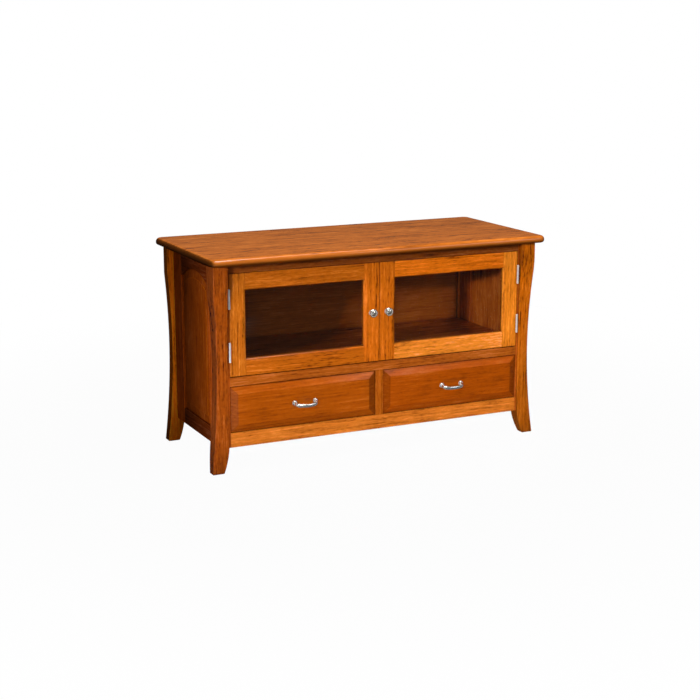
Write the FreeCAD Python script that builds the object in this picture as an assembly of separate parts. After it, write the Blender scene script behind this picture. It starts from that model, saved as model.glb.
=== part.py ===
import FreeCAD, Part
import math
import os

# A media stand: two framed glass doors over two drawers, between four sabre legs.
# Millimetres. The floor is z = 0, the front faces -Y, and the plan is centred on x = 0, y = 0.

# Top board
top_length = 1258.0
top_depth = 566.0
top_thickness = 25.0
stand_height = 726.0
top_corner_radius = 25.0
top_upper_round = 14.0
top_lower_round = 9.0
top_side_overhang = 21.5
top_front_overhang = 40.0
top_back_overhang = 34.0

# Legs: straight at the top, drawn in to a waist, and flared at the foot
leg_width = 53.0
front_leg_depth = 60.0
back_leg_depth = 38.0
end_waist_height = 350.0
end_waist_depth = 12.0
end_foot_return = 23.0
front_waist_height = 270.0
front_waist_depth = 16.0
front_foot_return = 8.5
leg_shoulder_radius = 160.0
foot_flare_height = 110.0
foot_flare = 22.0
leg_edge_round = 3.0
foot_chamfer = 2.5

# Front frame
face_recess = 19.0
frame_thickness = 22.0
stile_reveal = 6.0
housing_depth = 10.0
floor_clearance = 84.0
bottom_rail_height = 50.0
drawer_opening_height = 158.0
middle_rail_height = 31.0
middle_rail_depth = 45.0
top_rail_height = 31.5
mullion_width = 30.0
tenon_length = 9.0
tenon_thickness = 8.0
tenon_shoulder = 6.0

# Side frames with arched raised panels
side_recess = 24.0
side_frame_thickness = 20.0
side_front_stile_width = 54.0
side_back_stile_width = 78.0
side_bottom_rail_height = 54.0
arch_spring_drop = 89.0
arch_rise = 38.0
panel_groove_depth = 8.0
panel_tongue_thickness = 6.0
panel_float = 0.5
panel_bevel_width = 30.0
panel_bevel_rise = 4.0
panel_step = 1.5

# Back
back_rail_height = 50.0
back_rail_thickness = 20.0
back_rail_inset = 10.0
back_panel_thickness = 6.0
back_groove_depth = 8.0
cable_hole_x = 222.0
cable_hole_z = 435.0
cable_hole_radius = 30.0
grommet_wall = 4.0
grommet_flange_width = 6.0
grommet_flange_thickness = 2.5
grommet_tail = 3.0
grommet_play = 0.2

# Deck, partition, packers and top fixing
deck_thickness = 22.0
deck_play = 0.5
packer_drop = 148.0
partition_drop = 20.0
cleat_width = 22.0
cleat_end_gap = 10.0
cleat_screw_end = 45.0
cleat_screw_count = 3
cleat_screw_radius = 2.2
cleat_screw_head_radius = 4.5
cleat_screw_head_thickness = 3.0
cleat_screw_bite = 15.0
screw_play = 0.1

# Doors
fit_gap = 2.0
door_meeting_gap = 2.5
door_thickness = 20.0
door_stile_width = 57.0
door_rail_width = 56.0
door_edge_round = 1.5
door_inner_chamfer = 2.5
glass_rabbet_width = 8.0
glass_rabbet_depth = 11.0
glass_thickness = 4.0
glass_play = 1.0
stop_thickness = 6.5

# Butt hinges
hinge_length = 63.5
hinge_end_inset = 82.5
hinge_barrel_radius = 3.2
hinge_pin_radius = 1.5
hinge_pin_play = 0.05
hinge_pin_head_radius = 2.6
hinge_pin_head_thickness = 1.5
hinge_leaf_width = 17.0
hinge_leaf_play = 0.2
hinge_barrel_stand_off = 0.3
hinge_knuckle_count = 5
hinge_knuckle_gap = 0.3
hinge_screw_count = 3
hinge_screw_pitch = 21.0
hinge_screw_radius = 1.4
hinge_screw_head_radius = 2.8
hinge_screw_length = 12.0
hinge_screw_play = 0.05

# Magnetic catches
catch_width = 30.0
catch_depth = 16.0
catch_height = 40.0
catch_overlap = 20.0
strike_width = 24.0
strike_height = 14.0
strike_thickness = 1.6
strike_end_inset = 14.0

# Knobs
knob_flange_radius = 10.0
knob_flange_thickness = 2.0
knob_neck_radius = 5.5
knob_neck_length = 9.0
knob_head_radius = 14.5
knob_flare_length = 5.0
knob_rim_thickness = 3.0
knob_ring_width = 3.0
knob_dome_rise = 4.5
knob_screw_radius = 2.0
knob_screw_head_radius = 4.5
knob_screw_head_thickness = 2.5
knob_screw_bite = 8.0

# Drawers
drawer_front_thickness = 18.5
drawer_front_recess = 2.5
drawer_front_lip = 1.5
drawer_bevel_width = 22.5
drawer_field_rise = 8.0
drawer_box_height = 122.0
drawer_box_lift = 10.0
drawer_box_length = 400.0
drawer_board_thickness = 12.7
drawer_bottom_thickness = 6.0
drawer_bottom_lift = 8.0
drawer_bottom_groove = 6.0

# Bow pulls
pull_centres = 76.0
pull_bar_height = 13.0
pull_bar_depth = 9.0
pull_reach = 26.5
pull_droop = 18.0
pull_corner_radius = 14.0
pull_corner_turn = 72.0
pull_foot_radius = 8.5
pull_foot_thickness = 6.0
pull_foot_round = 4.0
pull_screw_bite = 6.0

# Drawer slides: three nested channels on each side of a drawer
slide_thickness = 12.7
slide_height = 40.0
slide_front_gap = 3.0
slide_length = 396.0
slide_wall = 1.2
slide_play = 0.4
slide_lip_gap = 1.2

# Levels and planes worked out from the sizes above
half_length = top_length / 2
half_depth = top_depth / 2
carcass_top = stand_height - top_thickness
leg_outer_x = half_length - top_side_overhang
leg_inner_x = leg_outer_x - leg_width
front_leg_front_y = top_front_overhang - half_depth
front_leg_back_y = front_leg_front_y + front_leg_depth
back_leg_back_y = half_depth - top_back_overhang
back_leg_front_y = back_leg_back_y - back_leg_depth
face_y = front_leg_front_y + face_recess
frame_back_y = face_y + frame_thickness
opening_x = leg_inner_x - stile_reveal
bottom_rail_top = floor_clearance + bottom_rail_height
middle_rail_bottom = bottom_rail_top + drawer_opening_height
middle_rail_top = middle_rail_bottom + middle_rail_height
top_rail_bottom = carcass_top - top_rail_height
deck_top = middle_rail_top + deck_thickness
side_outer_x = leg_outer_x - side_recess
side_inner_x = side_outer_x - side_frame_thickness
side_open_y0 = front_leg_back_y + side_front_stile_width
side_open_y1 = back_leg_front_y - side_back_stile_width
side_open_z0 = floor_clearance + side_bottom_rail_height
arch_spring_z = carcass_top - arch_spring_drop
back_rail_back_y = back_leg_back_y - back_rail_inset
back_rail_front_y = back_rail_back_y - back_rail_thickness
back_panel_y0 = (back_rail_front_y + back_rail_back_y - back_panel_thickness) / 2
back_panel_y1 = back_panel_y0 + back_panel_thickness
door_x0 = door_meeting_gap / 2
door_x1 = opening_x - fit_gap
door_z0 = middle_rail_top + fit_gap
door_z1 = top_rail_bottom - fit_gap
door_back_y = face_y + door_thickness
door_mid_z = (door_z0 + door_z1) / 2
hinge_axis_x = (door_x1 + opening_x) / 2
hinge_axis_y = face_y - hinge_barrel_stand_off - hinge_barrel_radius
lock_stile_x = door_x0 + door_stile_width / 2


def block(x0, x1, y0, y1, z0, z1):
    return Part.makeBox(x1 - x0, y1 - y0, z1 - z0, FreeCAD.Vector(x0, y0, z0))


def rod(radius, start, end):
    path = end.sub(start)
    return Part.makeCylinder(radius, path.Length, start, path)


def at(x, y, z):
    return FreeCAD.Vector(x, y, z)


def line(start, end):
    return Part.LineSegment(start, end).toShape()


def arc(start, middle, end):
    return Part.Arc(start, middle, end).toShape()


def polygon_wire(points):
    return Part.makePolygon(points + points[:1])


def prism(wire, direction):
    return Part.Face(wire).extrude(direction)


def mirrored(shapes):
    return [shape.mirror(at(0, 0, 0), at(1, 0, 0)) for shape in shapes]


def save(node, shapes):
    shape = shapes[0] if len(shapes) == 1 else Part.makeCompound(shapes)
    shape.exportStep(os.path.join("parts", node + ".step"))


def save_pair(node, right_shapes):
    save(node.replace("SIDE", "right"), right_shapes)
    save(node.replace("SIDE", "left"), mirrored(right_shapes))


# Top board with a large round over the upper edge and a small one below
def make_top():
    board = block(-half_length, half_length, -half_depth, half_depth, carcass_top, stand_height)
    corners = [edge for edge in board.Edges if abs(edge.BoundBox.ZLength - top_thickness) < 0.01]
    board = board.makeFillet(top_corner_radius, corners)

    def rim(level):
        return [edge for edge in board.Edges
                if abs(edge.BoundBox.ZMin - level) < 0.01 and abs(edge.BoundBox.ZMax - level) < 0.01]

    board = board.makeFillet(top_upper_round, rim(stand_height))
    return board.makeFillet(top_lower_round, rim(carcass_top))


# Leg outline: distance in from the outer face, against height, past both ends of the leg
def curved_leg_outline(width, waist_height, waist_depth, foot_return, place):
    overrun = foot_flare_height / 5
    waist_radius = (waist_height ** 2 + foot_return ** 2) / (2 * foot_return)
    waist_centre = waist_depth - waist_radius
    reach = waist_radius + leg_shoulder_radius
    shoulder_z = waist_height + math.sqrt(2 * waist_depth * reach - waist_depth ** 2)
    top_z = max(shoulder_z, carcass_top) + overrun
    flare_radius = (foot_flare_height ** 2 + foot_flare ** 2) / (2 * foot_flare)
    flare_centre = width - flare_radius

    def on_waist(z):
        return place(waist_centre + math.sqrt(waist_radius ** 2 - (z - waist_height) ** 2), z)

    def on_flare(z):
        return place(flare_centre + math.sqrt(flare_radius ** 2 - (foot_flare_height - z) ** 2), z)

    # The shoulder arc and the waist arc are tangent where the line of their centres crosses them.
    share = waist_radius / reach
    tangent_z = waist_height + share * (shoulder_z - waist_height)
    shoulder_middle_z = (shoulder_z + tangent_z) / 2
    drop = shoulder_z - shoulder_middle_z
    shoulder_middle = leg_shoulder_radius - math.sqrt(leg_shoulder_radius ** 2 - drop ** 2)
    shoulder = place(0, shoulder_z)
    tangent = on_waist(tangent_z)
    foot_outer = on_waist(-overrun)
    foot_inner = on_flare(-overrun)
    flare_start = place(width, foot_flare_height)
    edges = [
        line(place(0, top_z), shoulder),
        arc(shoulder, place(shoulder_middle, shoulder_middle_z), tangent),
        arc(tangent, on_waist(waist_height), foot_outer),
        line(foot_outer, foot_inner),
        arc(foot_inner, on_flare(0), flare_start),
        line(flare_start, place(width, top_z)),
        line(place(width, top_z), place(0, top_z)),
    ]
    return Part.Wire(edges)


def upright_edges(solid):
    chosen = []
    for edge in solid.Edges:
        size = edge.BoundBox
        if size.ZLength > 3 * max(size.XLength, size.YLength):
            chosen.append(edge)
    return chosen


def finish_leg(leg, y0, y1):
    leg = leg.common(block(leg_inner_x, half_length, y0, y1, 0, carcass_top))
    sole = [edge for edge in leg.Edges if edge.BoundBox.ZMax < 0.01]
    leg = leg.makeChamfer(foot_chamfer, sole)
    return leg.makeFillet(leg_edge_round, upright_edges(leg))


# The curve towards the ends of the stand is the same on front and back legs.
def end_outline(y):
    return curved_leg_outline(leg_width, end_waist_height, end_waist_depth, end_foot_return,
                              lambda inward, z: at(leg_outer_x - inward, y, z))


def make_front_leg():
    front_view = end_outline(front_leg_front_y)
    side_view = curved_leg_outline(
        front_leg_depth, front_waist_height, front_waist_depth, front_foot_return,
        lambda inward, z: at(leg_inner_x, front_leg_front_y + inward, z))
    leg = prism(front_view, at(0, front_leg_depth, 0))
    leg = leg.common(prism(side_view, at(half_length - leg_inner_x, 0, 0)))
    leg = finish_leg(leg, front_leg_front_y, front_leg_back_y)
    stile_housing = block(leg_inner_x, leg_inner_x + housing_depth, face_y, frame_back_y,
                          floor_clearance, carcass_top)
    side_housing = block(side_inner_x, side_outer_x, front_leg_back_y - housing_depth, front_leg_back_y,
                         floor_clearance, carcass_top)
    return leg.cut(stile_housing).cut(side_housing)


def make_back_leg():
    back_view = end_outline(back_leg_front_y)
    leg = finish_leg(prism(back_view, at(0, back_leg_depth, 0)), back_leg_front_y, back_leg_back_y)
    side_housing = block(side_inner_x, side_outer_x, back_leg_front_y, back_leg_front_y + housing_depth,
                         floor_clearance, carcass_top)
    leg = leg.cut(side_housing)
    for tenon in back_rail_tenons():
        leg = leg.cut(tenon)
    return leg.cut(back_panel_slot())


# Back: two rails tenoned into the back legs and a thin panel in their grooves
def back_rail_levels():
    return [(floor_clearance, floor_clearance + back_rail_height),
            (carcass_top - back_rail_height, carcass_top)]


def back_rail_tenons():
    middle_y = (back_rail_front_y + back_rail_back_y) / 2
    tenons = []
    for z0, z1 in back_rail_levels():
        tenons.append(block(leg_inner_x, leg_inner_x + tenon_length,
                            middle_y - tenon_thickness / 2, middle_y + tenon_thickness / 2,
                            z0 + back_groove_depth + tenon_shoulder, z1 - back_groove_depth - tenon_shoulder))
    return tenons


def back_panel_slot():
    (_, lower), (upper, _) = back_rail_levels()
    reach = leg_inner_x + back_groove_depth
    return block(-reach, reach, back_panel_y0, back_panel_y1,
                 lower - back_groove_depth, upper + back_groove_depth)


def make_back_rails():
    rails = []
    tenons = back_rail_tenons()
    for (z0, z1), tenon in zip(back_rail_levels(), tenons):
        rail = block(-leg_inner_x, leg_inner_x, back_rail_front_y, back_rail_back_y, z0, z1)
        rail = rail.cut(back_panel_slot())
        for piece in [tenon] + mirrored([tenon]):
            rail = rail.fuse(piece)
        rails.append(rail.removeSplitter())
    return rails


def make_back_panel():
    slot = back_panel_slot().BoundBox
    panel = block(slot.XMin + panel_float, slot.XMax - panel_float, slot.YMin, slot.YMax,
                  slot.ZMin, slot.ZMax - panel_float)
    return panel.cut(rod(cable_hole_radius, cable_spot(slot.YMin), cable_spot(slot.YMax)))


def cable_spot(y):
    return at(cable_hole_x, y, cable_hole_z)


def make_cable_grommet():
    flange_y = back_panel_y0 - grommet_flange_thickness
    tail_y = back_panel_y1 + grommet_tail
    sleeve_radius = cable_hole_radius - grommet_play
    flange = rod(cable_hole_radius + grommet_flange_width, cable_spot(flange_y), cable_spot(back_panel_y0))
    sleeve = rod(sleeve_radius, cable_spot(flange_y), cable_spot(tail_y))
    bore = rod(sleeve_radius - grommet_wall, cable_spot(flange_y), cable_spot(tail_y))
    return flange.fuse(sleeve).removeSplitter().cut(bore)


# Front frame
def cross_tenon(z0, z1):
    middle_y = (face_y + frame_back_y) / 2
    return block(opening_x, opening_x + tenon_length,
                 middle_y - tenon_thickness / 2, middle_y + tenon_thickness / 2,
                 z0 + tenon_shoulder, z1 - tenon_shoulder)


def front_rail_levels():
    return {
        "front_top_rail": (top_rail_bottom, carcass_top, frame_thickness),
        "front_middle_rail": (middle_rail_bottom, middle_rail_top, middle_rail_depth),
        "front_bottom_rail": (floor_clearance, bottom_rail_top, frame_thickness),
    }


def mullion_tenons():
    middle_y = (face_y + frame_back_y) / 2
    reach = mullion_width / 2 - tenon_shoulder

    def tenon(z0, z1):
        return block(-reach, reach, middle_y - tenon_thickness / 2, middle_y + tenon_thickness / 2, z0, z1)

    return [tenon(bottom_rail_top - tenon_length, bottom_rail_top),
            tenon(middle_rail_bottom, middle_rail_bottom + tenon_length)]


def make_front_rail(node):
    z0, z1, depth = front_rail_levels()[node]
    rail = block(-opening_x, opening_x, face_y, face_y + depth, z0, z1)
    tenon = cross_tenon(z0, z1)
    for piece in [tenon] + mirrored([tenon]):
        rail = rail.fuse(piece)
    for tenon in mullion_tenons():
        rail = rail.cut(tenon)
    return rail.removeSplitter()


def make_front_stile():
    stile = block(opening_x, leg_inner_x + housing_depth, face_y, frame_back_y, floor_clearance, carcass_top)
    for z0, z1, _ in front_rail_levels().values():
        stile = stile.cut(cross_tenon(z0, z1))
    for screw in hinge_screws(opening_x, 1, hinge_screw_play):
        stile = stile.cut(screw)
    return stile


def make_mullion():
    mullion = block(-mullion_width / 2, mullion_width / 2, face_y, frame_back_y,
                    bottom_rail_top, middle_rail_bottom)
    for tenon in mullion_tenons():
        mullion = mullion.fuse(tenon)
    return mullion.removeSplitter()


# Side frame outline: three straight sides and an arch, moved out by a distance, on one plane
def arched_wire(x, outward):
    half_span = (side_open_y1 - side_open_y0) / 2
    middle_y = (side_open_y0 + side_open_y1) / 2
    radius = (half_span ** 2 + arch_rise ** 2) / (2 * arch_rise)
    centre_z = arch_spring_z + arch_rise - radius
    reach = half_span + outward
    spring_z = centre_z + math.sqrt((radius + outward) ** 2 - reach ** 2)
    low_z = side_open_z0 - outward
    low_front = at(x, middle_y - reach, low_z)
    low_back = at(x, middle_y + reach, low_z)
    spring_front = at(x, middle_y - reach, spring_z)
    spring_back = at(x, middle_y + reach, spring_z)
    crown = at(x, middle_y, centre_z + radius + outward)
    return Part.Wire([line(low_front, low_back), line(low_back, spring_back),
                      arc(spring_back, crown, spring_front), line(spring_front, low_front)])


def panel_tongue_x():
    middle_x = (side_inner_x + side_outer_x) / 2
    return middle_x - panel_tongue_thickness / 2, middle_x + panel_tongue_thickness / 2


def make_side_frame():
    tongue_x0, tongue_x1 = panel_tongue_x()
    groove = prism(arched_wire(tongue_x0, panel_groove_depth), at(tongue_x1 - tongue_x0, 0, 0))
    window = prism(arched_wire(side_inner_x, 0), at(side_frame_thickness, 0, 0))

    def member(y0, y1, z0, z1):
        return block(side_inner_x, side_outer_x, y0, y1, z0, z1).cut(window).cut(groove)

    stiles = [member(front_leg_back_y - housing_depth, side_open_y0, floor_clearance, carcass_top),
              member(side_open_y1, back_leg_front_y + housing_depth, floor_clearance, carcass_top)]
    top_rail = member(side_open_y0, side_open_y1, arch_spring_z, carcass_top)
    bottom_rail = member(side_open_y0, side_open_y1, floor_clearance, side_open_z0)
    return stiles, [top_rail, bottom_rail]


def make_side_panel():
    tongue_x0, tongue_x1 = panel_tongue_x()
    bevel_top_x = tongue_x1 + panel_bevel_rise
    tongue_wire = arched_wire(tongue_x0, panel_groove_depth - panel_float)
    field_wire = arched_wire(bevel_top_x, -panel_bevel_width)
    tongue = prism(tongue_wire, at(tongue_x1 - tongue_x0, 0, 0))
    bevel = Part.makeLoft([arched_wire(tongue_x1, 0), field_wire], True, True)
    field = prism(field_wire, at(panel_step, 0, 0))
    return tongue.fuse(bevel).fuse(field).removeSplitter()


# Inside boards
def make_deck():
    deck_front_y = door_back_y + deck_play
    deck_back_y = back_panel_y0 - deck_play
    deck = block(-side_inner_x, side_inner_x, deck_front_y, deck_back_y, middle_rail_top, deck_top)
    front_notch = block(opening_x - deck_play, side_inner_x, deck_front_y, front_leg_back_y,
                        middle_rail_top, deck_top)
    back_notch = block(leg_inner_x - deck_play, side_inner_x, back_leg_front_y, deck_back_y,
                       middle_rail_top, deck_top)
    for notch in [front_notch, back_notch]:
        for piece in [notch] + mirrored([notch]):
            deck = deck.cut(piece)
    return deck


def make_partition():
    partition = block(-mullion_width / 2, mullion_width / 2, frame_back_y, back_rail_front_y,
                      bottom_rail_top - partition_drop, middle_rail_top)
    z0, z1, depth = front_rail_levels()["front_middle_rail"]
    return partition.cut(block(-opening_x, opening_x, face_y, face_y + depth, z0, z1))


def make_packer():
    return block(opening_x, side_inner_x, front_leg_back_y, back_leg_front_y,
                 middle_rail_top - packer_drop, middle_rail_top)


def cleat_screw_places():
    x = side_inner_x - cleat_width / 2
    y0 = front_leg_back_y + cleat_screw_end
    y1 = back_leg_front_y - cleat_screw_end
    step = (y1 - y0) / (cleat_screw_count - 1)
    return [(x, y0 + step * index) for index in range(cleat_screw_count)]


def cleat_screw_shank(x, y, play):
    low_z = carcass_top - cleat_width
    return rod(cleat_screw_radius + play, at(x, y, low_z), at(x, y, carcass_top + cleat_screw_bite + play))


def make_cleat():
    cleat = block(side_inner_x - cleat_width, side_inner_x, front_leg_back_y + cleat_end_gap,
                  back_leg_front_y - cleat_end_gap, carcass_top - cleat_width, carcass_top)
    for x, y in cleat_screw_places():
        cleat = cleat.cut(cleat_screw_shank(x, y, screw_play))
    return cleat


def make_cleat_screws():
    screws = []
    head_z = carcass_top - cleat_width
    for x, y in cleat_screw_places():
        head = rod(cleat_screw_head_radius, at(x, y, head_z - cleat_screw_head_thickness), at(x, y, head_z))
        screws.append(head.fuse(cleat_screw_shank(x, y, 0)).removeSplitter())
    return screws


def drill_top(board):
    for x, y in cleat_screw_places():
        hole = cleat_screw_shank(x, y, screw_play)
        for piece in [hole] + mirrored([hole]):
            board = board.cut(piece)
    return board


# Butt hinges: one leaf on the frame stile, one on the door's edge, knuckles in turn on one pin
def hinge_middles():
    return [door_z0 + hinge_end_inset, door_z1 - hinge_end_inset]


def hinge_screw_places():
    y = face_y + hinge_leaf_width / 2
    half = (hinge_screw_count - 1) / 2
    return [(y, middle + hinge_screw_pitch * (index - half))
            for middle in hinge_middles() for index in range(hinge_screw_count)]


def hinge_leaf_thickness():
    return (fit_gap - hinge_leaf_play) / 2


def hinge_screws(wood_x, into, play):
    screws = []
    for y, z in hinge_screw_places():
        leaf_x = wood_x - into * hinge_leaf_thickness()
        tip_x = wood_x + into * (hinge_screw_length + play)
        shank = rod(hinge_screw_radius + play, at(wood_x, y, z), at(tip_x, y, z))
        head = rod(hinge_screw_head_radius + play, at(leaf_x, y, z), at(wood_x, y, z))
        screws.append(head.fuse(shank).removeSplitter())
    return screws


def hinge_spot(z):
    return at(hinge_axis_x, hinge_axis_y, z)


def make_hinge_leaves(wood_x, into, first_knuckle):
    leaf_x = wood_x - into * hinge_leaf_thickness()
    x0 = min(wood_x, leaf_x)
    x1 = max(wood_x, leaf_x)
    plate_y = hinge_axis_y + hinge_barrel_radius + hinge_barrel_stand_off / 2
    knuckle_pitch = hinge_length / hinge_knuckle_count
    screws = hinge_screws(wood_x, into, hinge_screw_play)
    leaves = []
    for middle in hinge_middles():
        low_z = middle - hinge_length / 2
        leaf = block(x0, x1, plate_y, face_y + hinge_leaf_width, low_z, low_z + hinge_length)
        for index in range(first_knuckle, hinge_knuckle_count, 2):
            z0 = low_z + knuckle_pitch * index + hinge_knuckle_gap / 2
            z1 = low_z + knuckle_pitch * (index + 1) - hinge_knuckle_gap / 2
            leaf = leaf.fuse(rod(hinge_barrel_radius, hinge_spot(z0), hinge_spot(z1)))
            leaf = leaf.fuse(block(x0, x1, hinge_axis_y, plate_y, z0, z1))
        leaf = leaf.removeSplitter()
        bore = rod(hinge_pin_radius + hinge_pin_play, hinge_spot(low_z), hinge_spot(low_z + hinge_length))
        for piece in [bore] + screws:
            leaf = leaf.cut(piece)
        leaves.append(leaf)
    return leaves


def make_hinge_pins():
    pins = []
    for middle in hinge_middles():
        low_z = middle - hinge_length / 2
        high_z = middle + hinge_length / 2
        pin = rod(hinge_pin_radius, hinge_spot(low_z), hinge_spot(high_z))
        foot = rod(hinge_pin_head_radius, hinge_spot(low_z - hinge_pin_head_thickness), hinge_spot(low_z))
        head = rod(hinge_pin_head_radius, hinge_spot(high_z), hinge_spot(high_z + hinge_pin_head_thickness))
        pins.append(pin.fuse(foot).fuse(head).removeSplitter())
    return pins


# Catches hang behind the top rail, and their strikes are on the lock stiles
def make_catch():
    return block(lock_stile_x - catch_width / 2, lock_stile_x + catch_width / 2, frame_back_y,
                 frame_back_y + catch_depth, top_rail_bottom + catch_overlap - catch_height,
                 top_rail_bottom + catch_overlap)


def make_strike():
    high_z = door_z1 - strike_end_inset / 2
    return block(lock_stile_x - strike_width / 2, lock_stile_x + strike_width / 2, door_back_y,
                 door_back_y + strike_thickness, high_z - strike_height, high_z)


# Door frame: a ring with an eased outside and a chamfered window, parted into stiles and rails
def door_window():
    return (door_x0 + door_stile_width, door_x1 - door_stile_width,
            door_z0 + door_rail_width, door_z1 - door_rail_width)


def door_rail_tenons(z0, z1):
    x0, x1, _, _ = door_window()
    middle_y = face_y + (door_thickness - glass_rabbet_depth) / 2
    half = min(tenon_thickness, (door_thickness - glass_rabbet_depth) / 2) / 2
    y0 = middle_y - half
    y1 = middle_y + half
    low_z = z0 + tenon_shoulder
    high_z = z1 - tenon_shoulder
    return [block(x0 - tenon_length, x0, y0, y1, low_z, high_z),
            block(x1, x1 + tenon_length, y0, y1, low_z, high_z)]


def knob_hole():
    return rod(knob_screw_radius + screw_play, at(lock_stile_x, face_y, door_mid_z),
               at(lock_stile_x, door_back_y, door_mid_z))


def make_door_frame():
    x0, x1, z0, z1 = door_window()
    ring = block(door_x0, door_x1, face_y, door_back_y, door_z0, door_z1)
    ring = ring.cut(block(x0, x1, face_y, door_back_y, z0, z1))

    def on_face(edge):
        return edge.BoundBox.YMax < face_y + 0.01

    def is_window(edge):
        size = edge.BoundBox
        return size.XLength < x1 - door_x0 and size.ZLength < z1 - door_z0

    window = [edge for edge in ring.Edges if on_face(edge) and is_window(edge)]
    ring = ring.makeChamfer(door_inner_chamfer, window)
    outer = [edge for edge in ring.Edges if on_face(edge) and not is_window(edge)]
    ring = ring.makeFillet(door_edge_round, outer)
    ring = ring.cut(block(x0 - glass_rabbet_width, x1 + glass_rabbet_width, door_back_y - glass_rabbet_depth,
                          door_back_y, z0 - glass_rabbet_width, z1 + glass_rabbet_width))
    lock_stile = ring.common(block(door_x0, x0, face_y, door_back_y, door_z0, door_z1))
    lock_stile = lock_stile.cut(knob_hole())
    hinge_stile = ring.common(block(x1, door_x1, face_y, door_back_y, door_z0, door_z1))
    for screw in hinge_screws(door_x1, -1, hinge_screw_play):
        hinge_stile = hinge_stile.cut(screw)
    rails = []
    for low_z, high_z in [(z1, door_z1), (door_z0, z0)]:
        rail = ring.common(block(x0, x1, face_y, door_back_y, low_z, high_z))
        for tenon in door_rail_tenons(low_z, high_z):
            rail = rail.fuse(tenon)
            lock_stile = lock_stile.cut(tenon)
            hinge_stile = hinge_stile.cut(tenon)
        rails.append(rail.removeSplitter())
    return hinge_stile, lock_stile, rails


def make_glass():
    x0, x1, z0, z1 = door_window()
    reach = glass_rabbet_width - glass_play
    y0 = door_back_y - glass_rabbet_depth
    return block(x0 - reach, x1 + reach, y0, y0 + glass_thickness, z0 - reach, z1 + reach)


def make_glass_stops():
    x0, x1, z0, z1 = door_window()
    reach = glass_rabbet_width
    y0 = door_back_y - glass_rabbet_depth + glass_thickness
    y1 = y0 + stop_thickness
    return [block(x0 - reach, x1 + reach, y0, y1, z0 - reach, z0),
            block(x0 - reach, x1 + reach, y0, y1, z1, z1 + reach),
            block(x0 - reach, x0, y0, y1, z0, z1),
            block(x1, x1 + reach, y0, y1, z0, z1)]


# Knob turned about an axis that points out of the door
def make_knob():
    neck_end = knob_flange_thickness + knob_neck_length
    rim_start = neck_end + knob_flare_length
    rim_end = rim_start + knob_rim_thickness
    dome_radius = knob_head_radius - knob_ring_width

    def spot(radius, out):
        return at(lock_stile_x + radius, face_y - out, door_mid_z)

    groove_out = rim_end - knob_rim_thickness / 3
    dome_top = groove_out + knob_dome_rise
    sphere = (dome_radius ** 2 + knob_dome_rise ** 2) / (2 * knob_dome_rise)
    dome_middle = spot(dome_radius / 2, dome_top - sphere + math.sqrt(sphere ** 2 - dome_radius ** 2 / 4))
    flare_middle = spot(
        knob_neck_radius + (knob_head_radius - knob_neck_radius) * 0.4, neck_end + knob_flare_length * 0.35)
    ease = knob_rim_thickness / 4
    turned = [
        spot(0, dome_top),
        spot(0, 0),
        spot(knob_flange_radius, 0),
        spot(knob_flange_radius, knob_flange_thickness / 2),
        spot(knob_neck_radius, knob_flange_thickness * 1.5),
        spot(knob_neck_radius, neck_end),
    ]
    rim = [
        spot(knob_head_radius, rim_start),
        spot(knob_head_radius, rim_end - ease),
        spot(knob_head_radius - ease, rim_end),
        spot(dome_radius, rim_end),
        spot(dome_radius, groove_out),
    ]
    edges = [line(start, end) for start, end in zip(turned, turned[1:])]
    edges.append(arc(turned[-1], flare_middle, rim[0]))
    edges += [line(start, end) for start, end in zip(rim, rim[1:])]
    edges.append(arc(rim[-1], dome_middle, turned[0]))
    knob = Part.Face(Part.Wire(edges)).revolve(spot(0, 0), at(0, -1, 0), 360)
    bore = rod(knob_screw_radius + screw_play, spot(0, 0), spot(0, knob_screw_bite + screw_play))
    back = at(lock_stile_x, door_back_y, door_mid_z)
    head = rod(knob_screw_head_radius, back, back + at(0, knob_screw_head_thickness, 0))
    screw = head.fuse(rod(knob_screw_radius, spot(0, knob_screw_bite), back)).removeSplitter()
    return knob.cut(bore), screw


# Drawers
drawer_x0 = mullion_width / 2 + fit_gap
drawer_x1 = opening_x - fit_gap
drawer_z0 = bottom_rail_top + fit_gap
drawer_z1 = middle_rail_bottom - fit_gap
drawer_mid_x = (drawer_x0 + drawer_x1) / 2
drawer_mid_z = (drawer_z0 + drawer_z1) / 2
drawer_lip_y = face_y + drawer_front_recess
drawer_field_y = drawer_lip_y - drawer_field_rise
drawer_front_back_y = drawer_lip_y + drawer_front_thickness
box_x0 = mullion_width / 2 + slide_thickness
box_x1 = opening_x - slide_thickness
box_z0 = drawer_z0 + drawer_box_lift
box_z1 = box_z0 + drawer_box_height
box_back_y = drawer_front_back_y + drawer_box_length
pull_post_xs = [drawer_mid_x - pull_centres / 2, drawer_mid_x + pull_centres / 2]


def pull_screw_hole(x, play):
    inside_y = drawer_front_back_y + drawer_board_thickness
    return rod(knob_screw_radius + play, at(x, drawer_field_y - pull_screw_bite - play, drawer_mid_z),
               at(x, inside_y, drawer_mid_z))


def make_drawer_front():
    def outline(y, inset):
        x0 = drawer_x0 + inset
        x1 = drawer_x1 - inset
        z0 = drawer_z0 + inset
        z1 = drawer_z1 - inset
        return polygon_wire([at(x0, y, z0), at(x1, y, z0), at(x1, y, z1), at(x0, y, z1)])

    slab = block(drawer_x0, drawer_x1, drawer_lip_y, drawer_front_back_y, drawer_z0, drawer_z1)
    bevel = Part.makeLoft([outline(drawer_lip_y, drawer_front_lip),
                           outline(drawer_field_y, drawer_front_lip + drawer_bevel_width)], True, True)
    front = slab.fuse(bevel).removeSplitter()
    for x in pull_post_xs:
        front = front.cut(pull_screw_hole(x, screw_play))
    return front


def drawer_bottom_space():
    groove = drawer_bottom_groove - drawer_board_thickness
    z0 = box_z0 + drawer_bottom_lift
    return block(box_x0 - groove, box_x1 + groove, drawer_front_back_y - groove, box_back_y + groove,
                 z0, z0 + drawer_bottom_thickness)


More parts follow.
